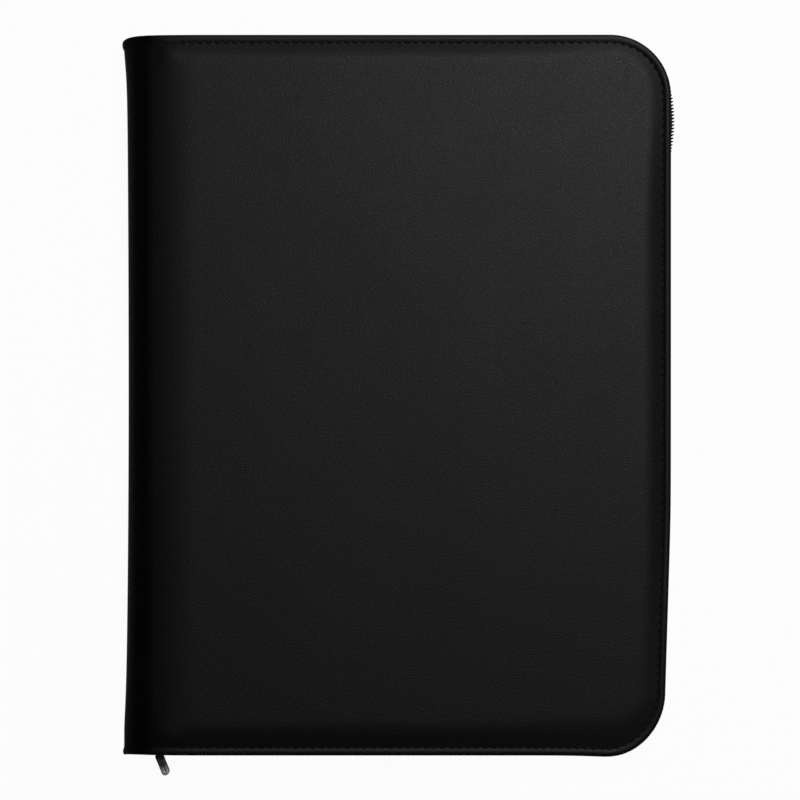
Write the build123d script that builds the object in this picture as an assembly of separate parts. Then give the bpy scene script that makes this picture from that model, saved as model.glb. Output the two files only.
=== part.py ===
from build123d import *
from math import cos, pi, sin, sqrt
import os

# A zippered padfolio that lies shut on its back cover, with its zip undone.
# Origin at the middle of the back cover's outer face, +X to the free edge, +Y to the head,
# +Z up through the front cover. All sizes are in millimetres.

# Closed case
CASE_W = 252.0  # from the spine to the free edge
CASE_H = 335.0  # from the tail to the head
CASE_T = 24.0  # from the back cover's outer face to the front cover's
CORNER_R = 28.5  # the two free corners, seen from the front
SPINE_R = 9.0  # roll of the leather from each cover into the spine
SPINE_FLARE = 2.4  # how far the spine stands out at the head and the tail
FLARE_POWER = 6  # how close to the ends it does so
FLARE_STATIONS = (0.09, 0.25)  # shares of the height, from each end, where the flare is shaped
FOLD_GAP = 0.3  # between the leather of a cover and of the spine at a fold line
FOLD_EASE = 0.3  # how far a fold line lies outside the leather's neutral line

# Layers of a cover, from the outside in
LEATHER_T = 1.0
FOAM_T = 1.2
BOARD_T = 2.1
LINING_T = 0.6
HEM_T = 2.0  # leather turned back on itself along the edge
TAPE_T = 0.5
STIFFENER_T = 0.8  # strip inside the spine

# Sewn edge of a cover, in from its outline
RIM_ROUND = 0.7
SEAM_INSET = 3.2  # the stitch line
SEAM_W = 1.2  # groove that the stitches pull in
SEAM_DEPTH = 0.4
HEM_LAP = 1.6  # hem past the stitch line
SHOULDER_W = 8.8  # from the stitch line up to the full height of the padding
COVER_RUN = 2.0  # flat leather between the roll of the spine and a cover's shell
BOARD_RUN = 9.0  # from there to the edge of the board
SEAT_EASE = 0.1  # board inside the leather
FLAT_LEFT = 0.1  # flat kept between two roundings

# Zip
TAPE_EDGE = 1.2  # outer edge of the tape from the outline
COIL_INSET = 3.2  # outside of the teeth from the outline
COIL_T = 1.6  # teeth, square to the tape
COIL_H = 2.8  # teeth, along the tape
COIL_LEAD = 0.6  # teeth past the tape's edge
COIL_FOOT = 0.6  # straight tape below the teeth
COIL_SEAT = 0.05  # teeth from the tape
ROW_GAP = 2.0  # between the two rows of teeth
TOOTH_PITCH = 1.56
TOOTH_DEPTH = 0.8

# Zip slider, parked by the spine, and its pull
SLIDER_FROM_SPINE = 12.5
SLIDER_L = 9.2
SLIDER_WALL = 0.9
SLIDER_EASE = 0.3  # slider from teeth and tape
SLIDER_TAPER = 0.5  # the closing end is this much narrower on each side
SLIDER_ROUND = 1.4
POST_L = 3.0  # wedge that parts the two rows
CROWN_L = 7.2
CROWN_W = 2.4
CROWN_H = 1.9
CROWN_BAR = 0.7
CROWN_LEG = 1.0
PIN_R = 0.45
PULL_L = 12.1  # from the pin to the tip
PULL_W = 6.0
PULL_T = 3.6
PULL_NECK = 4.4  # from the pin to the thick grip
PULL_FLARE = 2.4  # from the pin to where the arms are as wide as the grip
PULL_ARM = 1.5  # width of each arm of the eye
PULL_EASE = 0.3  # eye from the crown
PULL_TILT = 22.0  # degrees towards the free edge
PULL_GROOVE_W = 1.2
PULL_GROOVE_L = 4.6
PULL_GROOVE_D = 0.8
PULL_ROUND = 0.5

# Stops crimped on the tapes' ends
STOP_L = 1.4
STOP_WALL = 0.7
STOP_EASE = 0.3  # stop from the parked slider
ROW_EASE = 1.1  # first tooth of the front row from there, so that it lifts off

# Writing pad and its sleeve, on the back cover
PAD_SPINE_GAP = 30.0  # from the spine's outer face
PAD_EDGE_GAP = 12.0
PAD_END_GAP = 19.0
CARD_T = 0.9
SHEETS_T = 5.0
SLEEVE_T = 0.8
SLEEVE_MARGIN = 5.0  # sleeve past the card on its three sewn sides
SLEEVE_PLAY = 1.0  # card inside the sleeve
SLEEVE_H = 112.0
SHEETS_SLOPE = 20.0  # length over which the sheets step down past the sleeve
BINDING_T = 0.3
BINDING_LAP = 14.0

# Elastic pen loop, beside the spine
LOOP_R = 5.0
LOOP_T = 0.7
LOOP_L = 24.0
LOOP_TAB = 8.0
LOOP_FROM_SPINE = 21.0
LOOP_Y = 30.0

# Pockets inside the front cover
POCKET_INSET = 10.0
POCKET_FROM_SPINE = 22.0
POCKET_H = 198.0
POCKET_T = 0.8
POCKET_SLACK = 0.4  # empty space behind a pocket panel
POCKET_SEAM = 3.0
CARD_POCKET_W = 100.0
CARD_POCKET_H = 42.0  # the lowest tier
CARD_POCKET_STEP = 18.0
CARD_POCKET_T = 0.6
CARD_POCKET_SLACK = 0.2
CARD_POCKET_GAP = 15.0  # above the document pocket
CARD_POCKET_FROM_SPINE = 36.0
CARD_POCKET_R = 4.0
CARD_POCKET_TIERS = ("upper", "middle", "lower")

# Places worked out from the sizes
spine_x = -CASE_W / 2
tail_y = -CASE_H / 2
middle_z = CASE_T / 2
join_x = spine_x + SPINE_R + COVER_RUN
board_x = join_x + BOARD_RUN
board_face = LEATHER_T + FOAM_T
lining_face = board_face + BOARD_T
inner_face = lining_face + LINING_T
hem_back = lining_face - TAPE_T
hem_front = hem_back - HEM_T
seam_outer = SEAM_INSET - SEAM_W / 2
seam_floor = hem_front + SEAM_DEPTH
hem_end = SEAM_INSET + HEM_LAP
field_inset = SEAM_INSET + SHOULDER_W
fold_out = SPINE_R * (1 - pi / 4) - FOLD_EASE

coil_low = middle_z - ROW_GAP / 2 - COIL_H
coil_high = coil_low + COIL_H
web_low = coil_low - COIL_FOOT
web_high = coil_high - COIL_LEAD
web_inset = COIL_INSET + COIL_T
lean = (web_inset - TAPE_EDGE) / (web_low - lining_face)
lining_inset = TAPE_EDGE + TAPE_T + lean * LINING_T + SEAT_EASE

slider_x = spine_x + SLIDER_FROM_SPINE
tape_x = slider_x - SLIDER_L / 2 - STOP_EASE - STOP_L
front_row_x = slider_x + SLIDER_L / 2 + ROW_EASE
slider_skin = COIL_INSET - SLIDER_EASE - SLIDER_WALL
pin_inset = slider_skin - (CROWN_H - CROWN_BAR) / 2


def outer_depth(inset):
    """Depth of the leather's outer side inside the stitch line: a quarter of an ellipse."""
    run = 1 - (inset - SEAM_INSET) / SHOULDER_W
    return seam_floor * (1 - sqrt(1 - run**2))


def inner_depth(inset):
    """Depth of the leather's inner side, from the hem's end to the full padding."""
    run = 1 - (inset - hem_end) / (field_inset - hem_end)
    return LEATHER_T + (hem_back - LEATHER_T) * (1 - sqrt(1 - run**2))


def inset_of_inner_depth(depth):
    """Where the leather's inner side has the given depth."""
    rise = 1 - (depth - LEATHER_T) / (hem_back - LEATHER_T)
    return hem_end + (field_inset - hem_end) * (1 - sqrt(1 - rise**2))


board_inset = inset_of_inner_depth(board_face)
shoulder_inset = (board_inset + field_inset) / 2

# The edge of a cover as rows of inset and depth: the hem with its rounded rim, the groove that
# the stitches pull in, and the padded shoulder's outer and inner sides
hem_rows = [
    (RIM_ROUND, hem_back),
    (0, hem_back - RIM_ROUND),
    (0, hem_front + RIM_ROUND),
    (RIM_ROUND, hem_front),
]
groove_rows = [(seam_outer, hem_front), (SEAM_INSET, seam_floor)]
shoulder_insets = [hem_end, board_inset, shoulder_inset, field_inset]
outer_rows = [(inset, outer_depth(inset)) for inset in [SEAM_INSET, *shoulder_insets]]
inner_rows = [(inset, inner_depth(inset)) for inset in shoulder_insets]


def cover_face(inset, left, depth=0):
    """Plan of a cover, drawn in on its three sewn sides and square on the spine side."""
    right = CASE_W / 2 - inset
    height = CASE_H - 2 * inset
    plan = Pos((left + right) / 2, 0) * Rectangle(right - left, height)
    plan = fillet(plan.vertices().group_by(Axis.X)[-1], CORNER_R - inset)
    return Pos(0, 0, depth) * plan


def stacked(rows, left):
    """Solid through the cover's plan at each row's inset and depth."""
    return loft([cover_face(inset, left, depth) for inset, depth in rows], ruled=True)


def plate(inset, left, low, high):
    """Flat sheet with a cover's plan."""
    return extrude(cover_face(inset, left, low), amount=high - low)


def block(x_low, x_high, y_low, y_high, z_low, z_high):
    """Plain box between two corners."""
    size = (x_high - x_low, y_high - y_low, z_high - z_low)
    place = ((x_low + x_high) / 2, (y_low + y_high) / 2, (z_low + z_high) / 2)
    return Pos(*place) * Box(*size)


def to_front(shape):
    """The same piece on the front cover, which is the back cover's mirror image."""
    return mirror(shape, about=Plane.XY.offset(middle_z))


def flare(y):
    """How far the spine stands out at a height y."""
    return SPINE_FLARE * abs(y / tail_y) ** FLARE_POWER


def wrap_face(y, cover_low, cover_high, spine_low, spine_high, right):
    """Section of a sheet that runs from cover to cover round the spine, between two depths."""
    left = spine_x - flare(y)
    outside = [
        (right, cover_low),
        (left + spine_low, cover_low),
        (left + spine_low, CASE_T - cover_low),
        (right, CASE_T - cover_low),
    ]
    inside = [
        (right, CASE_T - cover_high),
        (left + spine_high, CASE_T - cover_high),
        (left + spine_high, cover_high),
        (right, cover_high),
    ]
    section = make_face(Polyline(*outside, *inside, close=True))
    columns = section.vertices().group_by(Axis.X)
    section = fillet(columns[0], SPINE_R - cover_low)
    inner_corners = section.vertices().filter_by(
        lambda v: abs(v.X - left - spine_high) < 1e-6 and min(v.Y, CASE_T - v.Y) < cover_high + 1e-6
    )
    section = fillet(inner_corners, SPINE_R - cover_high)
    return Plane(origin=(0, y, 0), x_dir=(1, 0, 0), z_dir=(0, -1, 0)) * section


def wrapped(rows, right):
    """Sheet round the spine through rows of inset and depths, alike at the head and the tail."""
    tail = [wrap_face(tail_y + inset, *depths, right) for inset, *depths in rows]
    head = [wrap_face(-tail_y - inset, *depths, right) for inset, *depths in reversed(rows)]
    return loft(tail + head, ruled=True)


def fold_prism(gap):
    """Wedge between the two fold lines: all that turns with the spine lies inside it."""
    x = spine_x + fold_out - gap / sqrt(2)
    reach = middle_z + SPINE_FLARE
    low = fold_out
    wedge = Polyline(
        (x - reach, low - reach),
        (x + middle_z - low, middle_z),
        (x - reach, CASE_T - low + reach),
        close=True,
    )
    face = Plane(origin=(0, CASE_H, 0), x_dir=(1, 0, 0), z_dir=(0, -1, 0)) * make_face(wedge)
    return extrude(face, amount=2 * CASE_H)


spine_space = fold_prism(FOLD_GAP / 2)
cover_cut = fold_prism(-FOLD_GAP / 2)
lower_half = block(2 * spine_x, CASE_W, 2 * tail_y, CASE_H, -CASE_T, middle_z)

# Leather: two padded cover shells with a turned hem, and the roll round the spine
hem_wrap = [
    (0, hem_front + RIM_ROUND, hem_back - RIM_ROUND, RIM_ROUND, HEM_T - RIM_ROUND),
    (RIM_ROUND, hem_front, hem_back, 0, HEM_T),
    (seam_outer, hem_front, hem_back, 0, HEM_T),
    (SEAM_INSET, seam_floor, hem_back, 0, HEM_T),
    (hem_end, outer_depth(hem_end), hem_back, 0, HEM_T),
    (board_inset, outer_depth(board_inset), board_face, 0, LEATHER_T),
]
full_wrap = [
    (shoulder_inset, outer_depth(shoulder_inset), inner_depth(shoulder_inset), 0, LEATHER_T),
    (field_inset, 0, LEATHER_T, 0, LEATHER_T),
]
full_wrap += [(CASE_H * share, 0, LEATHER_T, 0, LEATHER_T) for share in FLARE_STATIONS]
wrap = wrapped(hem_wrap + full_wrap, join_x)
padding = stacked(inner_rows, join_x)
back_leather = stacked(hem_rows, join_x) - stacked(groove_rows, join_x)
back_leather += stacked(outer_rows, join_x)
back_leather -= padding
back_leather += (wrap - cover_cut) & lower_half
spine_leather = wrap & spine_space

# Foam and board inside a cover
under_board = block(join_x, CASE_W, 2 * tail_y, CASE_H, board_face, CASE_T)
beside_board = block(2 * spine_x, board_x, 2 * tail_y, CASE_H, -CASE_T, CASE_T)
back_foam = padding - under_board - beside_board
back_board = plate(board_inset + SEAT_EASE, board_x, board_face, lining_face)

# Strip in the spine, and the lining that runs from cover to cover over it
strip_rows = [
    (inset, cover_high, cover_high + STIFFENER_T, spine_high, spine_high + STIFFENER_T)
    for inset, _, cover_high, _, spine_high in full_wrap
]
strip_half = middle_z - SPINE_R
strip_space = block(2 * spine_x, 0, tail_y, -tail_y, middle_z - strip_half, middle_z + strip_half)
spine_stiffener = wrapped(strip_rows, join_x) & strip_space
lining_rows = [
    (inset, low, low + LINING_T, spine_low, spine_low + LINING_T)
    for inset, _, low, _, spine_low in strip_rows
]
lining_x = board_x - LINING_T
lining_wrap = wrapped(lining_rows, lining_x)
spine_lining = lining_wrap & spine_space
lining_drop = block(
    lining_x,
    board_x,
    tail_y + shoulder_inset,
    -tail_y - shoulder_inset,
    lining_rows[0][1],
    inner_face,
)
back_lining = plate(lining_inset, lining_x, lining_face, inner_face) + lining_drop
back_lining += (lining_wrap - cover_cut) & lower_half


# Zip tape: sewn in under the hem, then leaning in to a straight edge that carries the teeth
def zip_tape():
    """Tape of the back cover along the tail, the free edge and the head."""
    flange = plate(TAPE_EDGE, tape_x, hem_back, lining_face)
    flange -= plate(board_inset + SEAT_EASE, tape_x, hem_back, lining_face)
    slope = stacked([(TAPE_EDGE, lining_face), (web_inset, web_low)], tape_x)
    slope -= stacked([(TAPE_EDGE + TAPE_T, lining_face), (web_inset + TAPE_T, web_low)], tape_x)
    web = plate(web_inset, tape_x, web_low, web_high)
    web -= plate(web_inset + TAPE_T, tape_x, web_low, web_high)
    return flange + slope + web


# Teeth: one loop of the coil after another along the tape, as ribs on its outer side
corner_x = CASE_W / 2 - CORNER_R
corner_y = -tail_y - CORNER_R
coil_bend = CORNER_R - COIL_INSET
bend_length = coil_bend * pi / 2


def along_zip(start_x, station, inset):
    """Point at a length along the teeth, from the tail by the spine round to the head."""
    run = corner_x - start_x
    if station < run:
        return (start_x + station, tail_y + inset)
    station -= run
    if station < bend_length:
        turn = station / coil_bend
        reach = CORNER_R - inset
        return (corner_x + reach * sin(turn), -corner_y - reach * cos(turn))
    station -= bend_length
    if station < 2 * corner_y:
        return (CASE_W / 2 - inset, station - corner_y)
    station -= 2 * corner_y
    if station < bend_length:
        turn = station / coil_bend
        reach = CORNER_R - inset
        return (corner_x + reach * cos(turn), corner_y + reach * sin(turn))
    return (corner_x - station + bend_length, -tail_y - inset)


def zip_row(start_x, end_x):
    """Teeth of one tape between two places by the spine, at the tail and at the head."""
    length = 2 * corner_x - start_x - end_x + 2 * bend_length + 2 * corner_y
    count = int(length / TOOTH_PITCH)
    half_steps = range(2 * count + 1)
    ribs = [
        along_zip(start_x, k * TOOTH_PITCH / 2, COIL_INSET + TOOTH_DEPTH * (k % 2 == 0))
        for k in half_steps
    ]
    first_bend = corner_x - start_x
    second_bend = first_bend + bend_length + 2 * corner_y
    bends = [(first_bend, first_bend + bend_length), (second_bend, second_bend + bend_length)]
    seats = [
        k * TOOTH_PITCH
        for k in range(count + 1)
        if k in (0, count) or any(a - TOOTH_PITCH < k * TOOTH_PITCH < b + TOOTH_PITCH for a, b in bends)
    ]
    seat_line = [along_zip(start_x, s, web_inset - COIL_SEAT) for s in reversed(seats)]
    outline = make_face(Polyline(*ribs, *seat_line, close=True))
    return extrude(Pos(0, 0, coil_low) * outline, amount=COIL_H)


row_x = tape_x + STOP_L
front_bare = block(2 * spine_x, front_row_x, 2 * tail_y, 0, lining_face, middle_z)
back_zip_tape = zip_tape()
front_zip_tape = to_front(back_zip_tape - front_bare)
back_zip_coil = zip_row(row_x, row_x)
front_zip_coil = to_front(zip_row(front_row_x, row_x))


def zip_stop(side):
    """Metal clip over the tape's edge at its end by the spine, at the tail (-1) or head (1)."""
    outer = web_inset - COIL_T
    section = Rectangle(COIL_T + TAPE_T + STOP_WALL, COIL_H, align=Align.MIN)
    slit = Pos(COIL_T, 0) * Rectangle(TAPE_T, web_high - coil_low, align=Align.MIN)
    clip = extrude(Plane.YZ * (section - slit), amount=STOP_L)
    clip = Pos(tape_x, tail_y + outer, coil_low) * clip
    return clip if side < 0 else mirror(clip, about=Plane.XZ)


zip_bottom_stop = zip_stop(-1)
back_top_stop = zip_stop(1)
front_top_stop = to_front(zip_stop(1))


# Slider: two plates that ride outside and inside the rows, held together by the wedge post
def slider_plate(half_height, inset, thickness):
    """Plate in the plane of the tape, narrower at its closing end."""
    half = SLIDER_L / 2
    outline = Polyline(
        (-half, half_height - SLIDER_TAPER),
        (0, half_height),
        (half, half_height),
        (half, -half_height),
        (0, -half_height),
        (-half, SLIDER_TAPER - half_height),
        close=True,
    )
    face = make_face(outline)
    ends = face.vertices().group_by(Axis.X)
    face = fillet(ends[0] + ends[-1], SLIDER_ROUND)
    place = Plane(origin=(slider_x, tail_y + inset, middle_z), x_dir=(1, 0, 0), z_dir=(0, 1, 0))
    return extrude(place * face, amount=thickness)


channel = ROW_GAP / 2 + COIL_H + SLIDER_EASE
slider_half = channel + SLIDER_WALL
plate_inner = slider_skin + SLIDER_WALL
inner_plate_inset = web_inset + TAPE_T + SLIDER_EASE
lip_end = web_inset - lean * SLIDER_WALL - SLIDER_EASE
row_space = block(
    slider_x - SLIDER_L,
    slider_x + SLIDER_L,
    tail_y + plate_inner,
    tail_y + inner_plate_inset,
    middle_z - channel,
    middle_z + channel,
)
post_half = ROW_GAP / 2 - SLIDER_EASE
slider_post = block(
    slider_x + SLIDER_L / 2 - POST_L - SLIDER_ROUND,
    slider_x + SLIDER_L / 2 - SLIDER_ROUND,
    tail_y + plate_inner,
    tail_y + inner_plate_inset,
    middle_z - post_half,
    middle_z + post_half,
)
slider_post = fillet(slider_post.edges().filter_by(Axis.Y), post_half - FLAT_LEFT)
slider_body = slider_plate(slider_half, slider_skin, lip_end - slider_skin) - row_space
slider_body += slider_plate(channel, inner_plate_inset, SLIDER_WALL)
slider_body += slider_post

# Crown: the bridge on the slider that the pull's pin turns under
crown_face = Rectangle(CROWN_L, CROWN_H, align=(Align.CENTER, Align.MAX))
crown_face = fillet(crown_face.vertices().group_by(Axis.Y)[0], CROWN_BAR)
crown_gap = Rectangle(CROWN_L - 2 * CROWN_LEG, CROWN_H - CROWN_BAR, align=(Align.CENTER, Align.MAX))
crown_place = Pos(slider_x, tail_y + slider_skin, middle_z - CROWN_W / 2)
slider_crown = crown_place * extrude(crown_face - crown_gap, amount=CROWN_W)


# Pull: a round pin, two arms past the crown, and a thick grip with a rounded tip
def pull_tab():
    """Pull with its pin at the origin, pointing along -Y."""
    eye = CROWN_W / 2 + PULL_EASE
    pin = Cylinder(PIN_R, 2 * (eye + PULL_ARM))
    wide = PULL_T / 2
    outline = [(-PIN_R, 0), (-wide, -PULL_FLARE), (-wide, -PULL_NECK)]
    outline += [(-x, y) for x, y in reversed(outline)]
    arm = make_face(Polyline(*outline, close=True))
    arms = [extrude(Pos(0, 0, low) * arm, amount=PULL_ARM) for low in (eye, -eye - PULL_ARM)]
    grip_length = PULL_L - PULL_NECK
    grip = Rectangle(PULL_T, grip_length, align=(Align.CENTER, Align.MAX))
    grip = fillet(grip.vertices().group_by(Axis.Y)[0], PULL_T / 2 - FLAT_LEFT)
    solid = extrude(Pos(0, -PULL_NECK, -PULL_W / 2) * grip, amount=PULL_W)
    solid = fillet(solid.faces().group_by(Axis.Z)[-1].edges(), PULL_ROUND)
    solid = fillet(solid.faces().group_by(Axis.Z)[0].edges(), PULL_ROUND)
    groove = Rectangle(PULL_GROOVE_W, PULL_GROOVE_L)
    groove = fillet(groove.vertices(), PULL_GROOVE_W / 2 - FLAT_LEFT)
    middle = -PULL_NECK - grip_length / 2
    for low in (PULL_W / 2 - PULL_GROOVE_D, -PULL_W / 2):
        solid -= extrude(Pos(0, middle, low) * groove, amount=PULL_GROOVE_D)
    for piece in (pin, *arms):
        solid += piece
    return solid


pull = Pos(slider_x, tail_y + pin_inset, middle_z) * Rot(0, 0, PULL_TILT) * pull_tab()

# Writing pad: a backing card in the sleeve, the sheets in front of it, and a bound head
pad_left = spine_x + PAD_SPINE_GAP
pad_right = CASE_W / 2 - PAD_EDGE_GAP
pad_tail = tail_y + PAD_END_GAP
pad_head = -tail_y - PAD_END_GAP
card_top = inner_face + CARD_T
sleeve_top = card_top + SLEEVE_T
sleeve_tail = pad_tail - SLEEVE_MARGIN
sleeve_mouth = sleeve_tail + SLEEVE_H
pad_card = block(pad_left, pad_right, pad_tail, pad_head, inner_face, card_top)
sheet_line = Polyline(
    (pad_tail, sleeve_top),
    (sleeve_mouth, sleeve_top),
    (sleeve_mouth + SHEETS_SLOPE, card_top),
    (pad_head, card_top),
    (pad_head, card_top + SHEETS_T),
    (sleeve_mouth + SHEETS_SLOPE, card_top + SHEETS_T),
    (sleeve_mouth, sleeve_top + SHEETS_T),
    (pad_tail, sleeve_top + SHEETS_T),
    close=True,
)
pad_sheets = Pos(pad_left, 0, 0) * extrude(Plane.YZ * make_face(sheet_line), amount=pad_right - pad_left)
sheets_top = card_top + SHEETS_T
pad_binding = block(
    pad_left,
    pad_right,
    pad_head,
    pad_head + BINDING_T,
    inner_face,
    sheets_top + BINDING_T,
)
pad_binding += block(
    pad_left,
    pad_right,
    pad_head - BINDING_LAP,
    pad_head,
    sheets_top,
    sheets_top + BINDING_T,
)
pad_sleeve = block(
    pad_left - SLEEVE_MARGIN,
    pad_right + SLEEVE_MARGIN,
    sleeve_tail,
    sleeve_mouth,
    inner_face,
    sleeve_top,
)
sleeve_edge = PAD_EDGE_GAP - SLEEVE_MARGIN
pad_sleeve &= plate(sleeve_edge, pad_left - SLEEVE_MARGIN, inner_face, sleeve_top)
pad_sleeve -= block(
    pad_left - SLEEVE_PLAY,
    pad_right + SLEEVE_PLAY,
    pad_tail - SLEEVE_PLAY,
    pad_head,
    inner_face,
    card_top,
)

# Pen loop: a ring of elastic whose tab is sewn to the lining
loop_x = spine_x + LOOP_FROM_SPINE
loop_outer = LOOP_R + LOOP_T
loop_face = Pos(0, loop_outer) * Circle(loop_outer)
loop_face += Rectangle(LOOP_TAB, LOOP_T, align=Align.MIN)
loop_face -= Pos(0, loop_outer) * Circle(LOOP_R)
loop_place = Plane(
    origin=(loop_x, LOOP_Y + LOOP_L / 2, inner_face),
    x_dir=(1, 0, 0),
    z_dir=(0, -1, 0),
)
pen_loop = extrude(loop_place * loop_face, amount=LOOP_L)

# Document pocket: a panel sewn to the lining on three sides, open towards the head
pocket_left = spine_x + POCKET_FROM_SPINE
pocket_mouth = tail_y + POCKET_INSET + POCKET_H
pocket_low = inner_face + POCKET_SLACK
above_mouth = block(2 * spine_x, CASE_W, pocket_mouth, CASE_H, -CASE_T, CASE_T)
pocket = plate(POCKET_INSET, pocket_left, inner_face, pocket_low + POCKET_T) - above_mouth
pocket -= plate(POCKET_INSET + POCKET_SEAM, pocket_left + POCKET_SEAM, inner_face, pocket_low)
document_pocket = to_front(pocket)


# Card pockets: three tiers, each sewn over the one behind it
def card_pocket(tier):
    """Panel of one tier, counted from the one next to the lining."""
    left = spine_x + CARD_POCKET_FROM_SPINE
    low_y = pocket_mouth + CARD_POCKET_GAP
    height = CARD_POCKET_H + CARD_POCKET_STEP * (len(CARD_POCKET_TIERS) - 1 - tier)
    low_z = inner_face + tier * (CARD_POCKET_T + CARD_POCKET_SLACK)
    top_z = low_z + CARD_POCKET_SLACK + CARD_POCKET_T
    panel = block(left, left + CARD_POCKET_W, low_y, low_y + height, low_z, top_z)
    panel = fillet(panel.edges().filter_by(Axis.Z).group_by(Axis.Y)[0], CARD_POCKET_R)
    panel -= block(
        left + POCKET_SEAM,
        left + CARD_POCKET_W - POCKET_SEAM,
        low_y + POCKET_SEAM,
        low_y + height,
        low_z,
        low_z + CARD_POCKET_SLACK,
    )
    return to_front(panel)


pieces = {
    "back_leather": back_leather,
    "back_foam": back_foam,
    "back_board": back_board,
    "back_lining": back_lining,
    "back_zip_tape": back_zip_tape,
    "back_zip_coil": back_zip_coil,
    "back_top_stop": back_top_stop,
    "zip_bottom_stop": zip_bottom_stop,
    "pad_sleeve": pad_sleeve,
    "pad_card": pad_card,
    "pad_sheets": pad_sheets,
    "pad_binding": pad_binding,
    "pen_loop": pen_loop,
    "spine_leather": spine_leather,
    "spine_stiffener": spine_stiffener,
    "spine_lining": spine_lining,
    "front_leather": to_front(back_leather),
    "front_foam": to_front(back_foam),
    "front_board": to_front(back_board),
    "front_lining": to_front(back_lining),
    "front_zip_tape": front_zip_tape,
    "front_zip_coil": front_zip_coil,
    "front_top_stop": front_top_stop,
    "document_pocket": document_pocket,
    "slider_body": slider_body,
    "slider_crown": slider_crown,
    "zip_pull": pull,
}
for number, tier_name in enumerate(CARD_POCKET_TIERS):
    pieces[f"card_pocket_{tier_name}"] = card_pocket(number)

os.makedirs("parts", exist_ok=True)
for node, solid in pieces.items():
    export_step(solid, f"parts/{node}.step")
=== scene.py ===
import bmesh
import bpy
import numpy as np
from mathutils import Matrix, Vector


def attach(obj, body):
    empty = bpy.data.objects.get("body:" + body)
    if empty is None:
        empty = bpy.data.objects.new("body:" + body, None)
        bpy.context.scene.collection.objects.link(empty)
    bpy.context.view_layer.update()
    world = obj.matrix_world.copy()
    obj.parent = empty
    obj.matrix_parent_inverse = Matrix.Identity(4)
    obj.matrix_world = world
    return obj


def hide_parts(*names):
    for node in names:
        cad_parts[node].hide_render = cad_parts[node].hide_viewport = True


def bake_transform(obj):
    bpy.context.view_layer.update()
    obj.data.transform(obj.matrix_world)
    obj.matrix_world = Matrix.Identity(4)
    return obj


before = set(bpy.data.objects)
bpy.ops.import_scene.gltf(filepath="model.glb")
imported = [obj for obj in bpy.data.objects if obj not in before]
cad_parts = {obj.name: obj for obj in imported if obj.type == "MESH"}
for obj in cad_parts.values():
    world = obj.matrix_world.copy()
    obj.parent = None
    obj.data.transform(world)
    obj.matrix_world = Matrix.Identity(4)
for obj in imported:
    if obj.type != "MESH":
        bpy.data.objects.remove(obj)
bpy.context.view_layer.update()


# The table, the light and the eye. The case lies on a wide white table under one large soft box
# that hangs beyond its head. The walls round it glow faintly, least on the spine's side, and it is
# looked at from straight above through a long lens.
class Wire:
    """An output of a shader node. Sums and products of wires and numbers add Math nodes."""

    def __init__(self, tree, socket=None):
        self.tree = tree
        self.socket = socket

    def node(self, kind, sockets=(), out=0, **settings):
        """A new node: its settings first, then a number, colour or wire for each socket."""
        made = self.tree.nodes.new(kind)
        for name, value in settings.items():
            setattr(made, name, value)
        for name, value in dict(sockets).items():
            if isinstance(value, Wire):
                self.tree.links.new(value.socket, made.inputs[name])
            else:
                made.inputs[name].default_value = value
        return Wire(self.tree, made.outputs[out] if made.outputs else None)

    def math(self, operation, first, second=0.0):
        """A Math node on one or two wires or numbers."""
        return self.node("ShaderNodeMath", {0: first, 1: second}, operation=operation)

    def __add__(self, other):
        return self.math("ADD", self, other)

    def __sub__(self, other):
        return self.math("SUBTRACT", self, other)

    def __rsub__(self, other):
        return self.math("SUBTRACT", other, self)

    def __mul__(self, other):
        return self.math("MULTIPLY", self, other)

    __radd__ = __add__
    __rmul__ = __mul__


def new_finish(name):
    """An empty material, and a wire to start its nodes from."""
    material = bpy.data.materials.new(name)
    material.use_nodes = True
    material.node_tree.nodes.clear()
    return material, Wire(material.node_tree)


MM = 0.001
TABLE_REACH, TABLE_DROP = 30.0, 0.2 * MM
TABLE_GREY = (0.4, 0.4, 0.4, 1)
WHITE_SEEN, WHITE_MIRRORED = 0.96, 0.1

table_white, bare = new_finish("table_white")
seen = bare.node("ShaderNodeLightPath", out="Is Camera Ray") * WHITE_SEEN
seen = seen + bare.node("ShaderNodeLightPath", out="Is Glossy Ray") * WHITE_MIRRORED
seen = seen + bare.node("ShaderNodeLightPath", out="Is Transmission Ray") * WHITE_MIRRORED
shaded = bare.node("ShaderNodeBsdfDiffuse", {"Color": TABLE_GREY})
plain = bare.node("ShaderNodeEmission", {"Color": (1, 1, 1, 1), "Strength": 1.0})
table_top = bare.node("ShaderNodeMixShader", {0: seen, 1: shaded, 2: plain})
bare.node("ShaderNodeOutputMaterial", {"Surface": table_top})

table_mesh = bpy.data.meshes.new("table")
corner = TABLE_REACH / 2
table_mesh.from_pydata(
    [(-corner, -corner, -TABLE_DROP), (corner, -corner, -TABLE_DROP), (corner, corner, -TABLE_DROP),
     (-corner, corner, -TABLE_DROP)], [], [(0, 1, 2, 3)])
table_mesh.materials.append(table_white)
table = bpy.data.objects.new("table", table_mesh)
bpy.context.scene.collection.objects.link(table)

LAMP_PLACE, LAMP_AIM = Vector((0.283, 0.432, 1.32)), Vector((0, 0, 0.02))
LAMP_SIZE, LAMP_POWER = 0.5, 21.6
soft_box = bpy.data.lights.new("head_light", "AREA")
soft_box.size = LAMP_SIZE
soft_box.energy = LAMP_POWER
lamp_holder = bpy.data.objects.new("head_light", soft_box)
lamp_holder.location = LAMP_PLACE
lamp_holder.rotation_euler = (LAMP_AIM - LAMP_PLACE).to_track_quat("-Z", "Y").to_euler()
bpy.context.scene.collection.objects.link(lamp_holder)


def eased(value, low, high, first=0.0, last=1.0):
    """A wire as a smooth step: first as far as low, and last from high on."""
    sockets = {"Value": value, "From Min": low, "From Max": high, "To Min": first, "To Max": last}
    return value.node("ShaderNodeMapRange", sockets, interpolation_type="SMOOTHSTEP")


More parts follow.
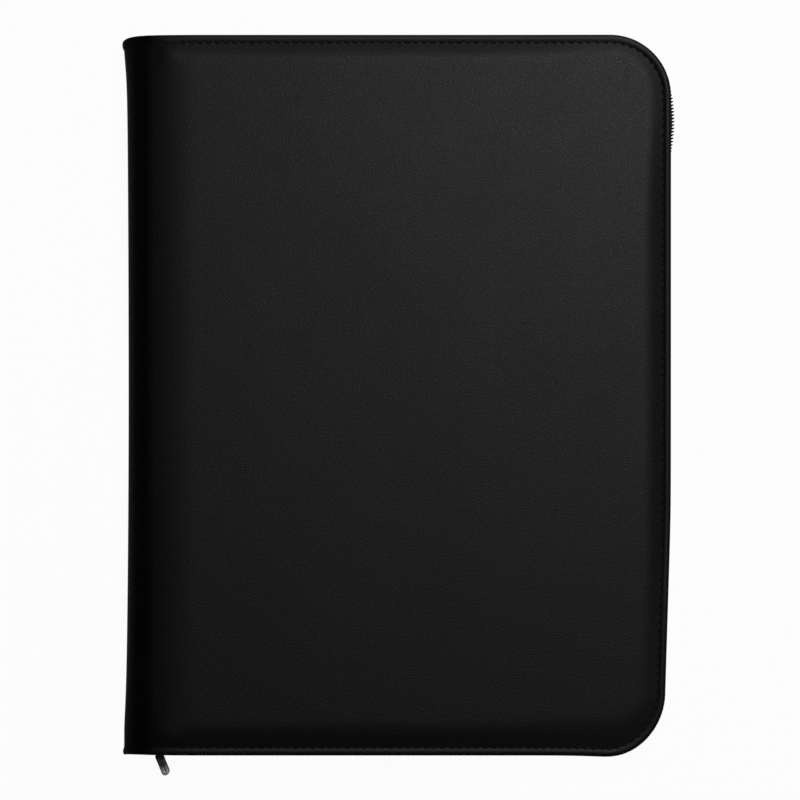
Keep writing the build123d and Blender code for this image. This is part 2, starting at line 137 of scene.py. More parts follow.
WALL_LOW, WALL_HIGH = 0.12, 0.5
WALL_GLOW, CEILING_GLOW = 0.3, 0.02
SPINE_SIDE, OPEN_SIDE, SPINE_SIDE_SHARE = -0.8, -0.1, 0.25

world = bpy.data.worlds.new("studio")
world.use_nodes = True
world.node_tree.nodes.clear()
bare = Wire(world.node_tree)
way = bare.node("ShaderNodeTexCoord", out="Generated")
height = bare.node("ShaderNodeSeparateXYZ", {0: way}, out="Z")
aside = bare.node("ShaderNodeSeparateXYZ", {0: way}, out="X")
glow = eased(height, WALL_LOW, WALL_HIGH, WALL_GLOW, CEILING_GLOW)
glow = glow * eased(aside, SPINE_SIDE, OPEN_SIDE, SPINE_SIDE_SHARE)
walls = bare.node("ShaderNodeBackground", {"Color": (1, 1, 1, 1), "Strength": glow})
bare.node("ShaderNodeOutputWorld", {"Surface": walls})
bpy.context.scene.world = world
bpy.context.scene.view_settings.view_transform = "Standard"

EYE_HEIGHT, EYE_Y = 1.6, -2.2 * MM
VIEW_WIDTH, VIEW_LEVEL = 371.5 * MM, 23 * MM
FILM_WIDTH = 36

eye = bpy.data.cameras.new("eye")
eye.sensor_width = FILM_WIDTH
eye.lens = FILM_WIDTH * EYE_HEIGHT / VIEW_WIDTH
eye.clip_end = 100
eye_holder = bpy.data.objects.new("eye", eye)
eye_holder.location = (0, EYE_Y, EYE_HEIGHT + VIEW_LEVEL)
bpy.context.scene.collection.objects.link(eye_holder)
bpy.context.scene.camera = eye_holder


# Leather of the two covers: one skin of black grained leather over thin foam and a board, turned
# back in a hem on its three sewn sides. The hem stands up as a bead outside the stitch line, and
# inside it the padding swells to full height, soonest at the head and last at the tail.
CASE_W, CASE_H, CASE_T = 252 * MM, 335 * MM, 24 * MM
CORNER_R = 28.5 * MM
BEND_X, BEND_Y = CASE_W / 2 - CORNER_R, CASE_H / 2 - CORNER_R
JOIN_X = -115 * MM
SKIN_T = 1.0 * MM
HEM_BACK = 3.8 * MM

# The hem on each sewn side. The free edge goes over from edge to low towards the tail, and each
# bend takes these shares of the six sizes.
SEAM_IN = {"head": 3.7 * MM, "edge": 3.8 * MM, "low": 3.7 * MM, "tail": 3.8 * MM}
SHOULDER_W = {"head": 9.5 * MM, "edge": 11 * MM, "low": 10 * MM, "tail": 14 * MM}
SEAM_DEPTH = {"head": 1.55 * MM, "edge": 2.55 * MM, "low": 2.1 * MM, "tail": 2.05 * MM}
HEM_RISE = {"head": 0.4 * MM, "edge": 0.85 * MM, "low": 0.62 * MM, "tail": 0.28 * MM}
HEM_STEEP = {"head": 0.8, "edge": 0.5, "low": 0.5, "tail": 0.0}
HEM_ROUND = {"head": 0.62, "edge": 1.0, "low": 1.0, "tail": 1.0}
HEAD_BEND = np.array((1, 0.75, 0.5, 1, 1, 0.75))
TAIL_BEND = np.array((1, 1.25, 0.9, 1, 1, 1))
BEND_REACH = 35 * MM
LOW_FROM, LOW_REACH = -30 * MM, 100 * MM

# The pucker of the stitches, the roll and the lift towards the spine, the swell of the field, the
# bumps over the board's corners, and how the free edge draws in and its lower bend fills out.
PUCKER_H, PUCKER_W = 0.06 * MM, 0.8 * MM
ROLL_X, ROLL_W, ROLL_H = -95 * MM, 31.9 * MM, 12 * MM
LIFT_X, LIFT_W, SPINE_LIFT = -103 * MM, 12 * MM, 0.8 * MM
CROWN, WAVE = 0.45 * MM, 0.05 * MM
BUMP_X, BUMP_Y = -107.5 * MM, 159.5 * MM
BUMP_W, BUMP_L, BUMP_H = 5.5 * MM, 5 * MM, 0.7 * MM
DRAW_X, DRAW_Y, DRAW_ROUND, DRAW_SLOPE = 40 * MM, -55 * MM, 12 * MM, 0.032
FULL_X, FULL_Y, FULL_REACH, FULL_OUT = 107 * MM, -163 * MM, 19 * MM, 0.9 * MM
RUN_STEPS, BEND_STEPS, SIDE_STEPS = 106, 20, 140


def edge_frame(station, start, radius):
    """Stations along the sewn sides from x = start at the tail, round both bends, to the head.

    A bend is radius times a quarter turn long. Gives the point CORNER_R in from the edge and the
    way out from there, so that the edge at any inset is point + way * (CORNER_R - inset).
    """
    run, bend, side = BEND_X - start, radius * np.pi / 2, 2 * BEND_Y
    turn = np.clip(station - run, 0, bend) + np.clip(station - run - bend - side, 0, bend)
    angle = turn / radius - np.pi / 2
    x = start + np.clip(station, 0, run) - np.clip(station - run - 2 * bend - side, 0, None)
    y = np.clip(station - run - bend, 0, side) - BEND_Y
    return np.stack([x, y], -1), np.stack([np.cos(angle), np.sin(angle)], -1)


def even_stations(start, end, radius, runs, bends, sides):
    """Stations from x = start at the tail to x = end at the head, in whole steps on each part."""
    lengths = [BEND_X - start, radius * np.pi / 2, 2 * BEND_Y, radius * np.pi / 2, BEND_X - end]
    counts = [runs, bends, sides, bends, runs]
    starts = np.cumsum([0] + lengths)
    parts = [a + np.linspace(0, w, n + 1)[:-1] for a, w, n in zip(starts, lengths, counts)]
    return np.concatenate(parts + [starts[-1:]])


def ease(t):
    """Smooth step from 0 to 1."""
    t = np.clip(t, 0, 1)
    return t * t * (3 - 2 * t)


def settle(points):
    """The free edge as it lies: it draws in towards the tail, by 32 mm in each metre.

    Its bend there is a little fuller than the one at the head.
    """
    below = DRAW_Y - points[..., 1]
    draw = DRAW_SLOPE * (below + np.sqrt(below**2 + DRAW_ROUND**2)) / 2
    moved = points.copy()
    moved[..., 0] -= draw * ease((points[..., 0] - DRAW_X) / (CASE_W / 2 - DRAW_X))
    off = (points[..., :2] - (FULL_X, FULL_Y)) / FULL_REACH
    moved[..., :2] += FULL_OUT * np.exp(-np.sum(off**2, -1))[..., None] * (0.5, -0.85)
    return moved


def spine_roll(x):
    """Drop of a cover's outer side towards the spine: a quarter of an ellipse."""
    across = np.clip((ROLL_X - x) / ROLL_W, 0, 1)
    return ROLL_H * (1 - np.sqrt(1 - across**2))


def hem_profile(seam, width, depth, rise, steep, round_to):
    """Inset, depth and share of the hem's lift for the rows of a cover's edge.

    They run from the inside of the leather, under the hem, round its bead, down by rise into the
    stitch line at inset seam, and up the padding's shoulder: a straight slope that bends off. The
    bead is a quarter of an ellipse, with its sine and cosine to the power round_to. The fall behind
    it is a share, steep, of a square, and a smooth step for the rest.
    """
    top = depth - rise
    middle = (top + HEM_BACK) / 2
    inside = np.array([(28.5, 1, 0), (20, 1, 0), (12, 1, 0), (8.5, 1.35, 0.15), (6.4, 2.2, 0.5),
                       (5.2, 3.3, 0.9), (4.8, 3.8, 1), (3.4, 3.8, 1), (2, 3.8, 1), (0.8, 3.8, 1)])
    inside = inside * (MM, MM, 1)
    low = np.radians([72, 54, 36, 18])
    deep = middle + (HEM_BACK - middle) * np.sin(low)
    under = np.stack([0.8 * MM * (1 - np.cos(low)), deep, np.ones(4)], -1)
    high = np.radians([0, 15, 30, 45, 60, 75, 90])
    out, up = 1 - np.abs(np.cos(high)) ** round_to, np.sin(high) ** round_to
    bead = np.stack([seam / 2 * out, middle - (middle - top) * up, np.ones(7)], -1)
    dip = np.array([0.25, 0.5, 0.75, 0.9, 1.0])
    drop = steep * dip**2 + (1 - steep) * ease(dip)
    fall = np.stack([seam / 2 * (1 + dip), top + rise * drop, np.ones(5)], -1)
    climb = np.array([0.01, 0.03, 0.07, 0.13, 0.2, 0.3, 0.42, 0.56, 0.72, 0.86, 1.0])
    bend = np.clip((climb - 0.3) / 0.7, 0, 1)
    left = 1 - (climb - 0.7 * (bend**3 - bend**4 / 2)) / 0.65
    swell = np.stack([seam + width * climb, depth * left, left], -1)
    rest = np.linspace(seam + width, CORNER_R, 4)[1:]
    field = np.stack([rest, 0 * rest, 0 * rest], -1)
    return np.concatenate([inside, under, bead, fall, swell, field])


# The row of hem_profile that lies in the stitch line.
SEAM_ROW = 25


def hem_sizes(side):
    """The six sizes that hem_profile takes, on a sewn side."""
    tables = (SEAM_IN, SHOULDER_W, SEAM_DEPTH, HEM_RISE, HEM_STEEP, HEM_ROUND)
    return np.array([sizes[side] for sizes in tables])


def lie(x, y):
    """Rise of the padded field over the cover: a low crown, slow waves, and the board's corners.

    The crown is a fourth power of the distance from the middle on each axis, and the corners of
    the board lift the leather in two small round bumps by the spine.
    """
    across = x / np.where(x > 0, CASE_W / 2, JOIN_X + 3 * MM)
    middle = np.clip(1 - across**4, 0, 1) * np.clip(1 - (2 * y / CASE_H) ** 4, 0, 1)
    waves = np.sin(61 * x + 23 * y) + np.sin(47 * y - 38 * x + 1.3) + np.sin(97 * x - 71 * y + 0.4)
    bumps = np.exp(-(((x - BUMP_X) / BUMP_W) ** 2) - ((np.abs(y) - BUMP_Y) / BUMP_L) ** 2)
    bumps = bumps * ease((x - JOIN_X) / (5 * MM))
    return CROWN * middle + WAVE * waves * middle + BUMP_H * bumps


def cover_depth(x, y, depth, share, side):
    """Depth of a point of a cover's leather under the cover's outer face; the back lies flat."""
    lift = SPINE_LIFT * ease((LIFT_X - x) / LIFT_W)
    rise = lie(x, y) if side == "front" else 0
    return depth - lift * share + spine_roll(x) - rise


def grid_faces(rows, columns, first=0, closed=False):
    """Quads between neighbours of a grid of points, row by row; closed joins its last column."""
    wide = columns if closed else columns - 1
    row, column = np.meshgrid(np.arange(rows - 1), np.arange(wide), indexing="ij")
    here = first + row * columns + column
    beside = first + row * columns + (column + 1) % columns
    return np.stack([here, beside, beside + columns, here + columns], -1).reshape(-1, 4)


def make_piece(name, parts, finish, sharp=None, values=None):
    """A mesh piece of grids of points with their faces; its doubles are merged, faces turned out.

    sharp is the angle in degrees past which an edge stays sharp, and values are numbers for each
    point that the finish reads by name.
    """
    count, points, faces = 0, [], []
    for cloud, quads in parts:
        points.append(cloud.reshape(-1, 3))
        faces.append(quads + count)
        count += len(points[-1])
    mesh = bpy.data.meshes.new(name)
    mesh.from_pydata(np.concatenate(points).tolist(), [], [q for f in faces for q in f.tolist()])
    for key, numbers in (values or {}).items():
        layer = mesh.attributes.new(key, "FLOAT", "POINT")
        layer.data.foreach_set("value", numbers.ravel().astype(np.float32))
    work = bmesh.new()
    work.from_mesh(mesh)
    bmesh.ops.remove_doubles(work, verts=work.verts, dist=1e-6)
    bmesh.ops.dissolve_degenerate(work, edges=work.edges, dist=1e-7)
    bmesh.ops.recalc_face_normals(work, faces=work.faces)
    work.to_mesh(mesh)
    work.free()
    mesh.polygons.foreach_set("use_smooth", np.ones(len(mesh.polygons), bool))
    if sharp:
        mesh.set_sharp_from_angle(angle=np.radians(sharp))
    mesh.materials.append(finish)
    piece = bpy.data.objects.new(name, mesh)
    bpy.context.scene.collection.objects.link(piece)
    return piece


def to_side(points, side):
    """Points given by depth from a cover's outer face, as height over the table."""
    placed = points.copy()
    if side == "front":
        placed[..., 2] = CASE_T - placed[..., 2]
    return placed


def between(mask, first, second):
    """A colour that goes from the first to the second with a mask."""
    return mask.node("ShaderNodeMix", {0: mask, 6: first, 7: second}, out=2, data_type="RGBA")


def raised(height, strength, distance):
    """The normal of a surface that a wire raises by up to a distance."""
    sockets = {"Height": height, "Strength": strength, "Distance": distance}
    return height.node("ShaderNodeBump", sockets, out="Normal")


def end_finish(bare, sockets):
    """The last nodes of a finish: one Principled shader with these sockets, and the output."""
    shader = bare.node("ShaderNodeBsdfPrincipled", sockets)
    bare.node("ShaderNodeOutputMaterial", {"Surface": shader})


# Handling has polished the leather where it rolls over to the spine, up to the rim.
POLISH_FROM, POLISH_FULL = -113 * MM, -119.5 * MM
POLISH_LAST, POLISH_END = -122.5 * MM, -126.5 * MM

black_leather, bare = new_finish("black_leather")
place = bare.node("ShaderNodeTexCoord", out="Object")
drift = bare.node("ShaderNodeTexNoise", {"Vector": place, "Scale": 210, "Detail": 2}, out="Color")
bent = bare.node("ShaderNodeVectorMath", {0: drift, 1: (1.2 * MM,) * 3, 2: place}, operation="MULTIPLY_ADD")
creases = bare.node("ShaderNodeTexVoronoi", {"Vector": bent, "Scale": 820}, feature="DISTANCE_TO_EDGE")
pebble = eased(creases, 0.0, 0.4)
pores = bare.node("ShaderNodeTexNoise", {"Vector": place, "Scale": 2600, "Detail": 2})
patches = bare.node("ShaderNodeTexNoise", {"Vector": place, "Scale": 34, "Detail": 3})
across = bare.node("ShaderNodeSeparateXYZ", {0: place}, out="X")
polish = eased(across, POLISH_FROM, POLISH_FULL) * eased(across, POLISH_END, POLISH_LAST)
tone = between(pebble * 0.7 + patches * 0.3, (0.0003, 0.0003, 0.00032, 1), (0.0012, 0.0012, 0.00126, 1))
end_finish(bare, {
    "Base Color": tone, "Normal": raised(pebble * 0.7 + pores * 0.5, 0.65, 0.1 * MM),
    "Roughness": 0.54 - pebble * 0.06 + patches * 0.06 - polish * 0.2, "Specular IOR Level": 0.107,
    "Coat Weight": 0.013 + pebble * 0.024, "Coat Roughness": 0.32})

SEAM_R = CORNER_R - SEAM_IN["edge"]
panel_stations = even_stations(JOIN_X, JOIN_X, SEAM_R, RUN_STEPS, BEND_STEPS, SIDE_STEPS)
panel_start, panel_way = edge_frame(panel_stations, JOIN_X, SEAM_R)


def cover_edge(side):
    """Rows of a cover's edge at every station, as x, y and depth under the outer face.

    The hem's sizes go over from one side to the next by the squares of the way out, and change
    once more in a bell round each bend. At the head and the tail the stitches pucker the valley.
    """
    out_x, out_y = panel_way[:, :1], panel_way[:, 1:]
    low = ease((LOW_FROM - panel_start[:, 1:]) / LOW_REACH)
    edge = hem_sizes("edge") * (1 - low) + hem_sizes("low") * low
    ends = np.where(out_y > 0, hem_sizes("head"), hem_sizes("tail"))
    sizes = edge * out_x**2 + ends * out_y**2
    for bend_y, change in ((BEND_Y, HEAD_BEND), (-BEND_Y, TAIL_BEND)):
        off = (panel_start - (BEND_X, bend_y)) / BEND_REACH
        sizes *= 1 + (change - 1) * np.exp(-np.sum(off**2, -1))[:, None]
    rows = np.stack([hem_profile(*one) for one in sizes], 1)
    inset, depth, share = rows[..., 0], rows[..., 1], rows[..., 2]
    plan = panel_start + panel_way * (CORNER_R - inset)[..., None]
    on_top = (np.arange(len(rows)) > SEAM_ROW - 6)[:, None]
    pull = np.exp(-(((inset - inset[SEAM_ROW]) / PUCKER_W) ** 2)) * on_top
    in_turn = 2.0 * (np.arange(depth.shape[1]) % 2) - 1
    depth = depth + PUCKER_H * pull * out_y.T**2 * in_turn
    return np.dstack([plan, cover_depth(plan[..., 0], plan[..., 1], depth, share, side)])


def cover_field(depth, side):
    """The cover inside its bends: a plain grid on the same stations as the edge."""
    x = np.linspace(JOIN_X, BEND_X, RUN_STEPS + 1)
    y = np.linspace(-BEND_Y, BEND_Y, SIDE_STEPS + 1)
    x, y = np.meshgrid(x, y, indexing="ij")
    return np.dstack([x, y, cover_depth(x, y, depth + 0 * x, 0 * x, side)])


END_ANGLE = 60
seam_rows = {}
for side, body in (("front", "front_cover"), ("back", "back_cover")):
    parts = [cover_edge(side), cover_field(0.0, side), cover_field(SKIN_T, side)]
    edge, outer, inner = parts = [to_side(settle(rows), side) for rows in parts]
    seam_rows[side] = edge[SEAM_ROW]
    join = np.concatenate([edge[:, 0], outer[0, 1:-1], edge[::-1, -1], inner[0, -2:0:-1]])
    grids = [(rows, grid_faces(*rows.shape[:2])) for rows in parts]
    cap = (join, np.arange(len(join))[None])
    panel = make_piece(side + "_cover_leather", grids + [cap], black_leather, END_ANGLE)
    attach(panel, body)
    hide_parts(side + "_leather", side + "_foam")


# Leather round the spine: the same skin, which rolls off each cover and stands upright behind the
# pad with no board in it. It stands out at the head and the tail, where its hem is thickest.
ROLL_STEPS, ROLL_FLAT = 26, 16.0 * MM
TAIL_FLARE, HEAD_FLARE = (1.6 * MM, 1.7 * MM, 10), (0.9 * MM, 2.1 * MM, 14)
RIM_LIFT = 0.5 * MM
HEAD_PULL, TAIL_PULL = 3.0 * MM, -0.5 * MM
PULL_FROM, PULL_REACH = 135 * MM, 32.5 * MM


def flare(y):
    """How far the spine stands out: a broad square and a steep power of the height, at each end."""
    reach = np.abs(2 * y / CASE_H)
    tail, head = (broad * reach**2 + steep * reach**power for broad, steep, power in (TAIL_FLARE, HEAD_FLARE))
    return np.where(y < 0, tail, head)


def spine_loop():
    """Rows of y, depth and share of lift once round the leather's section along the spine."""
    tail = hem_profile(*hem_sizes("tail")) + (-CASE_H / 2, 0, 0)
    head = hem_profile(*hem_sizes("head")) * (-1, 1, 1) + (CASE_H / 2, 0, 0)
    y = np.linspace(-BEND_Y, BEND_Y, SIDE_STEPS + 1)[1:-1]
    outside = np.stack([y, 0 * y, 0 * y], -1)
    inside = np.stack([y[::-1], 0 * y + SKIN_T, 0 * y], -1)
    return np.concatenate([tail, outside, head[::-1], inside])


def spine_skin():
    """Leather from a cover's join to the middle of the spine, as x, y and depth.

    The line goes along the ellipse of spine_roll, and each row lies under it by its depth,
    straight down at the join and square to the line at the spine. Both ends are drawn in or out
    along the spine by the cube of the way round.
    """
    loop = spine_loop()
    first = np.arcsin((ROLL_X - JOIN_X) / ROLL_W)
    angle = np.linspace(first, np.pi / 2, ROLL_STEPS)[:, None]
    across, up = np.sin(angle), np.cos(angle)
    along = (angle - first) / (np.pi / 2 - first)
    inward = np.concatenate([across / ROLL_W, up / ROLL_H], 1)
    inward /= np.linalg.norm(inward, axis=1, keepdims=True)
    inward = (1 - ease(along * 2)) * (0, 1) + ease(along * 2) * inward
    inward /= np.linalg.norm(inward, axis=1, keepdims=True)
    y, depth, share = loop[None, :, 0], loop[None, :, 1], loop[None, :, 2]
    depth = depth - (SPINE_LIFT + RIM_LIFT * ease(along)) * share
    x = ROLL_X - ROLL_W * across + inward[:, :1] * depth - flare(y) * ease(along)
    low = ROLL_H * (1 - up) + inward[:, 1:] * depth
    near_end = ease((np.abs(y) - PULL_FROM) / PULL_REACH)
    pulled = np.where(y > 0, HEAD_PULL, TAIL_PULL) * along**3 * near_end
    return np.dstack([x, y - np.sign(y) * pulled, low])


def fold_over(piece, side):
    """Bakes a piece's placement into its mesh; it is not bent at the fold between its cover and the spine."""
    if side == "back":
        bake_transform(piece)
    else:
        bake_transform(piece)


skin_rows = spine_skin()
skin_parts = [(skin_rows, grid_faces(*skin_rows.shape[:2], closed=True))]
skin_parts += [(skin_rows[k], np.arange(skin_rows.shape[1])[None]) for k in (0, -1)]
for side in ("front", "back"):
    parts = [(to_side(rows, side), faces) for rows, faces in skin_parts]
    roll = make_piece(side + "_spine_leather", parts, black_leather, END_ANGLE)
    fold_over(roll, side)
    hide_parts("spine_leather", "spine_stiffener")
    side + "_spine_lining"


# Hem stitches: black waxed thread in long slanted stitches along the valley beside the bead. Each
# stitch dives into the leather at both ends, and one more runs back under it out of sight.
THREAD_R, THREAD_LEAN = 0.48 * MM, -0.38 * MM
THREAD_STEPS, THREAD_SIDES = 7, 6


def band_faces(rows, columns):
    """Faces of a closed section carried along rows, with an end over the first and the last."""
    half = np.arange(columns // 2 - 1)
    end = np.stack([half, half + 1, columns - 2 - half, columns - 1 - half], -1)
    return np.concatenate([grid_faces(rows, columns, closed=True), end, end + columns * (rows - 1)])


def stitches(starts, ends, up, radius, lean):
    """Short threads between two rows of points: round sections that swell from each end.

    The middle of a thread rises towards up, and lean turns it in the surface, with its start to
    one side and its end to the other.
    """
    t = np.linspace(0, 1, THREAD_STEPS)
    turn = np.linspace(0, 2 * np.pi, THREAD_SIDES + 1)[:-1]
    run = ends - starts
    aside = np.cross(run, up)
    aside /= np.linalg.norm(aside, axis=1, keepdims=True)
    swell = np.sqrt(np.clip(1 - (2 * t - 1) ** 4, 0.02, 1))
    line = starts[:, None] + run[:, None] * (0.13 + 0.74 * t)[:, None]
    line = line + aside[:, None] * (lean * (1 - 2 * t))[:, None]
    line = line + up[:, None] * (radius * (0.8 * np.sin(np.pi * t) - 0.6))[:, None]
    ring = np.cos(turn)[:, None] * aside[:, None, None] + np.sin(turn)[:, None] * up[:, None, None]
    points = line[:, :, None] + ring * (radius * swell)[:, None, None]
    first = THREAD_STEPS * THREAD_SIDES * np.arange(len(starts))
    faces = band_faces(THREAD_STEPS, THREAD_SIDES) + first[:, None, None]
    return points, faces.reshape(-1, 4)


black_thread, bare = new_finish("black_thread")
place = bare.node("ShaderNodeTexCoord", out="Object")
twist = bare.node("ShaderNodeTexWave", {"Vector": place, "Scale": 900, "Distortion": 2.0},
                  bands_direction="DIAGONAL")
tone = between(twist, (0.0005, 0.0005, 0.0005, 1), (0.002, 0.002, 0.0021, 1))
end_finish(bare, {"Base Color": tone, "Normal": raised(twist, 0.6, 0.08 * MM),
                  "Roughness": 0.6 + twist * 0.1, "Specular IOR Level": 0.08})

for side, body in (("front", "front_cover"), ("back", "back_cover")):
    holes = seam_rows[side][::2]
    up = np.tile((0, 0, 1 if side == "front" else -1), (len(holes) - 1, 1)).astype(float)
    thread = stitches(holes[:-1], holes[1:], up, THREAD_R, THREAD_LEAN)
    seam = make_piece(side + "_hem_stitches", [thread], black_thread)
    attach(seam, body)


# Boards inside the covers: grey pulp board, cut square and glued between the foam and the lining.
# Nothing of them shows unless the case is cut open. The pad's backing card is the same board.
def dress(node, finish):
    """Gives a CAD piece its finish."""
    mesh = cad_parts[node].data
    mesh.materials.clear()
    mesh.materials.append(finish)


pulp_board, bare = new_finish("pulp_board")
place = bare.node("ShaderNodeTexCoord", out="Object")
pulp = bare.node("ShaderNodeTexNoise", {"Vector": place, "Scale": 900, "Detail": 4})
specks = bare.node("ShaderNodeTexNoise", {"Vector": place, "Scale": 260, "Detail": 2})
tone = between(pulp * 0.6 + specks * 0.4, (0.17, 0.15, 0.125, 1), (0.4, 0.36, 0.3, 1))
end_finish(bare, {"Base Color": tone, "Normal": raised(pulp, 0.4, 0.1 * MM), "Roughness": 0.85 - pulp * 0.1})
for node in ("front_board", "back_board", "pad_card"):
    dress(node, pulp_board)


# Lining: plain woven black cloth, glued over the boards and sewn in with the hem all round. It goes
# on round the inside of the spine without a seam, where it is only loosely held.
LINING_X = -108 * MM
LINING_OUT, LINING_IN = 4.3 * MM, 4.9 * MM
LINING_WAVE = 0.06 * MM
LINING_RUNS, LINING_BENDS, LINING_SIDES = 70, 12, 92
STRIP_ROLL_W, STRIP_IN, STRIP_FLAT = 15.6 * MM, 4 * MM, 18.5 * MM
STRIP_WAVE = 0.3 * MM
CLOTH_ANGLE = 50

black_lining, bare = new_finish("black_lining")
place = bare.node("ShaderNodeTexCoord", out="Object")
warp = bare.node("ShaderNodeTexWave", {"Vector": place, "Scale": 420, "Distortion": 0.6}, bands_direction="X")
weft = bare.node("ShaderNodeTexWave", {"Vector": place, "Scale": 420, "Distortion": 0.6}, bands_direction="Y")
slubs = bare.node("ShaderNodeTexNoise", {"Vector": place, "Scale": 120, "Detail": 3})
weave = bare.math("MAXIMUM", warp * (1 - weft) * 2, weft * (1 - warp) * 2)
tone = between(weave * 0.6 + slubs * 0.4, (0.006, 0.006, 0.0065, 1), (0.034, 0.034, 0.037, 1))
end_finish(bare, {"Base Color": tone, "Normal": raised(weave, 0.7, 0.09 * MM), "Roughness": 0.82 - slubs * 0.1,
                  "Sheen Weight": 0.15, "Sheen Roughness": 0.5})


def lining_rise(x, y):
    """Slow waves of cloth that is glued on by hand."""
    return LINING_WAVE * (np.sin(83 * x - 31 * y) + np.sin(57 * y + 44 * x + 2.0))


def lining_edge():
    """Rows of the lining's edge, over and under, as x, y and depth."""
    stations = even_stations(LINING_X, LINING_X, CORNER_R, LINING_RUNS, LINING_BENDS, LINING_SIDES)
    start, way = edge_frame(stations, LINING_X, CORNER_R)
    inset = np.array([28.5, 15, 6, 3.2, 2.7, 2.6, 2.7, 3.1, 4.5, 8, 14, 20, 28.5])[:, None] * MM
    depth = np.array([4.3, 4.3, 4.3, 4.3, 4.36, 4.55, 4.78, 4.88, 4.9, 4.9, 4.9, 4.9, 4.9])[:, None] * MM
    plan = start + way * (CORNER_R - inset)[..., None]
    depth = depth + lining_rise(plan[..., 0], plan[..., 1]) * (np.arange(13) > 8)[:, None]
    return np.dstack([plan, depth])


def lining_field(depth, wavy):
    """The lining inside its bends, on the same stations as its edge."""
    x = np.linspace(LINING_X, BEND_X, LINING_RUNS + 1)
    y = np.linspace(-BEND_Y, BEND_Y, LINING_SIDES + 1)
    x, y = np.meshgrid(x, y, indexing="ij")
    return np.dstack([x, y, depth + wavy * lining_rise(x, y)])


def lining_strip():
    """Lining from a cover to the middle of the spine: a quarter ellipse carried along the spine.

    It follows the leather's flare, and hangs in slow waves of its own in the middle of the bend.
    """
    y = np.linspace(STRIP_IN - CASE_H / 2, CASE_H / 2 - STRIP_IN, 90)
    over, under = np.stack([y, 0 * y + LINING_IN - LINING_OUT], -1), np.stack([y[::-1], 0 * y], -1)
    loop = np.concatenate([over, under])
    y, thick = loop[None, :, 0], loop[None, :, 1]
    angle = np.linspace(0, np.pi / 2, 20)[:, None]
    high = CASE_T / 2 - LINING_OUT
    sag = 0.8 * flare(y) * ease(angle / 1.2) - STRIP_WAVE * np.sin(40 * y) * np.sin(2 * angle)
    x = LINING_X - (STRIP_ROLL_W - thick) * np.sin(angle) - sag
    depth = LINING_OUT + high - (high - thick) * np.cos(angle)
    rise = lining_rise(np.full_like(y, LINING_X), y) * (thick > 0) * np.cos(angle)
    return np.dstack([x, y + 0 * angle, depth + rise])


edge, under, over = lining_edge(), lining_field(LINING_OUT, 0), lining_field(LINING_IN, 1)
joins = [np.stack([edge[:7, k], edge[:5:-1, k]]) for k in (0, -1)] + [np.stack([under[0], over[0]])]
lining_parts = [settle(rows) for rows in [edge, under, over] + joins]
strip_rows = lining_strip()
for side, body in (("front", "front_cover"), ("back", "back_cover")):
    grids = [(to_side(rows, side), grid_faces(*rows.shape[:2])) for rows in lining_parts]
    lining = make_piece(side + "_lining_cloth", grids, black_lining, CLOTH_ANGLE)
    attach(lining, body)
    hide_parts(side + "_lining")
    side + "_board"
    grid = (to_side(strip_rows, side), band_faces(*strip_rows.shape[:2]))
    strip = make_piece(side + "_spine_lining", [grid], black_lining, CLOTH_ANGLE)
    fold_over(strip, side)
    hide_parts("spine_lining")
    side + "_spine_leather"


# Zip tapes: black polyester tape in a herringbone weave. One edge is sewn in between the hem and
# the lining, and the free edge stands up beside it. The zip is undone, and near the head the front
# tape hangs out past the edge of the cover.
TAPE_X, TAPE_FRONT_X = -119.8 * MM, -107.8 * MM
TAPE_RUNS, TAPE_BENDS, TAPE_SIDES = 90, 24, 160
HERRINGBONE_W, RIB_PITCH = 1.3 * MM, 0.85 * MM
HANG_X, HANG_BLEND = 100 * MM, 15 * MM
HANG_Y, HANG_W, HANG_OUT = 128 * MM, 28 * MM, 6.05 * MM
HANG_FROM, HANG_REACH = 4.3 * MM, 6.4 * MM

zip_tape, bare = new_finish("zip_tape")
place = bare.node("ShaderNodeTexCoord", out="Object")
along = bare.node("ShaderNodeAttribute", out="Fac", attribute_name="along")
across = bare.node("ShaderNodeAttribute", out="Fac", attribute_name="across")
fold = bare.math("PINGPONG", across, HERRINGBONE_W)
ribs = bare.math("SINE", (along + fold * 1.2) * (2 * np.pi / RIB_PITCH)) * 0.5 + 0.5
yarn = bare.node("ShaderNodeTexNoise", {"Vector": place, "Scale": 1500})
tone = between(ribs * 0.7 + yarn * 0.3, (0.006, 0.006, 0.0064, 1), (0.03, 0.03, 0.032, 1))
end_finish(bare, {"Base Color": tone, "Normal": raised(ribs, 0.7, 0.12 * MM), "Roughness": 0.75 - yarn * 0.1,
                  "Specular IOR Level": 0.2})


def hang_out(points, side):
    """The front tape's slack: it leans out by a bell of the height along the free edge."""
    if side == "back":
        return points
    moved = points.copy()
    lean = np.clip((points[..., 2] - HANG_FROM) / HANG_REACH, 0, 2) ** 1.3
    bell = np.exp(-(((points[..., 1] - HANG_Y) / HANG_W) ** 2))
    moved[..., 0] += HANG_OUT * lean * bell * ease((points[..., 0] - HANG_X) / HANG_BLEND)
    return moved


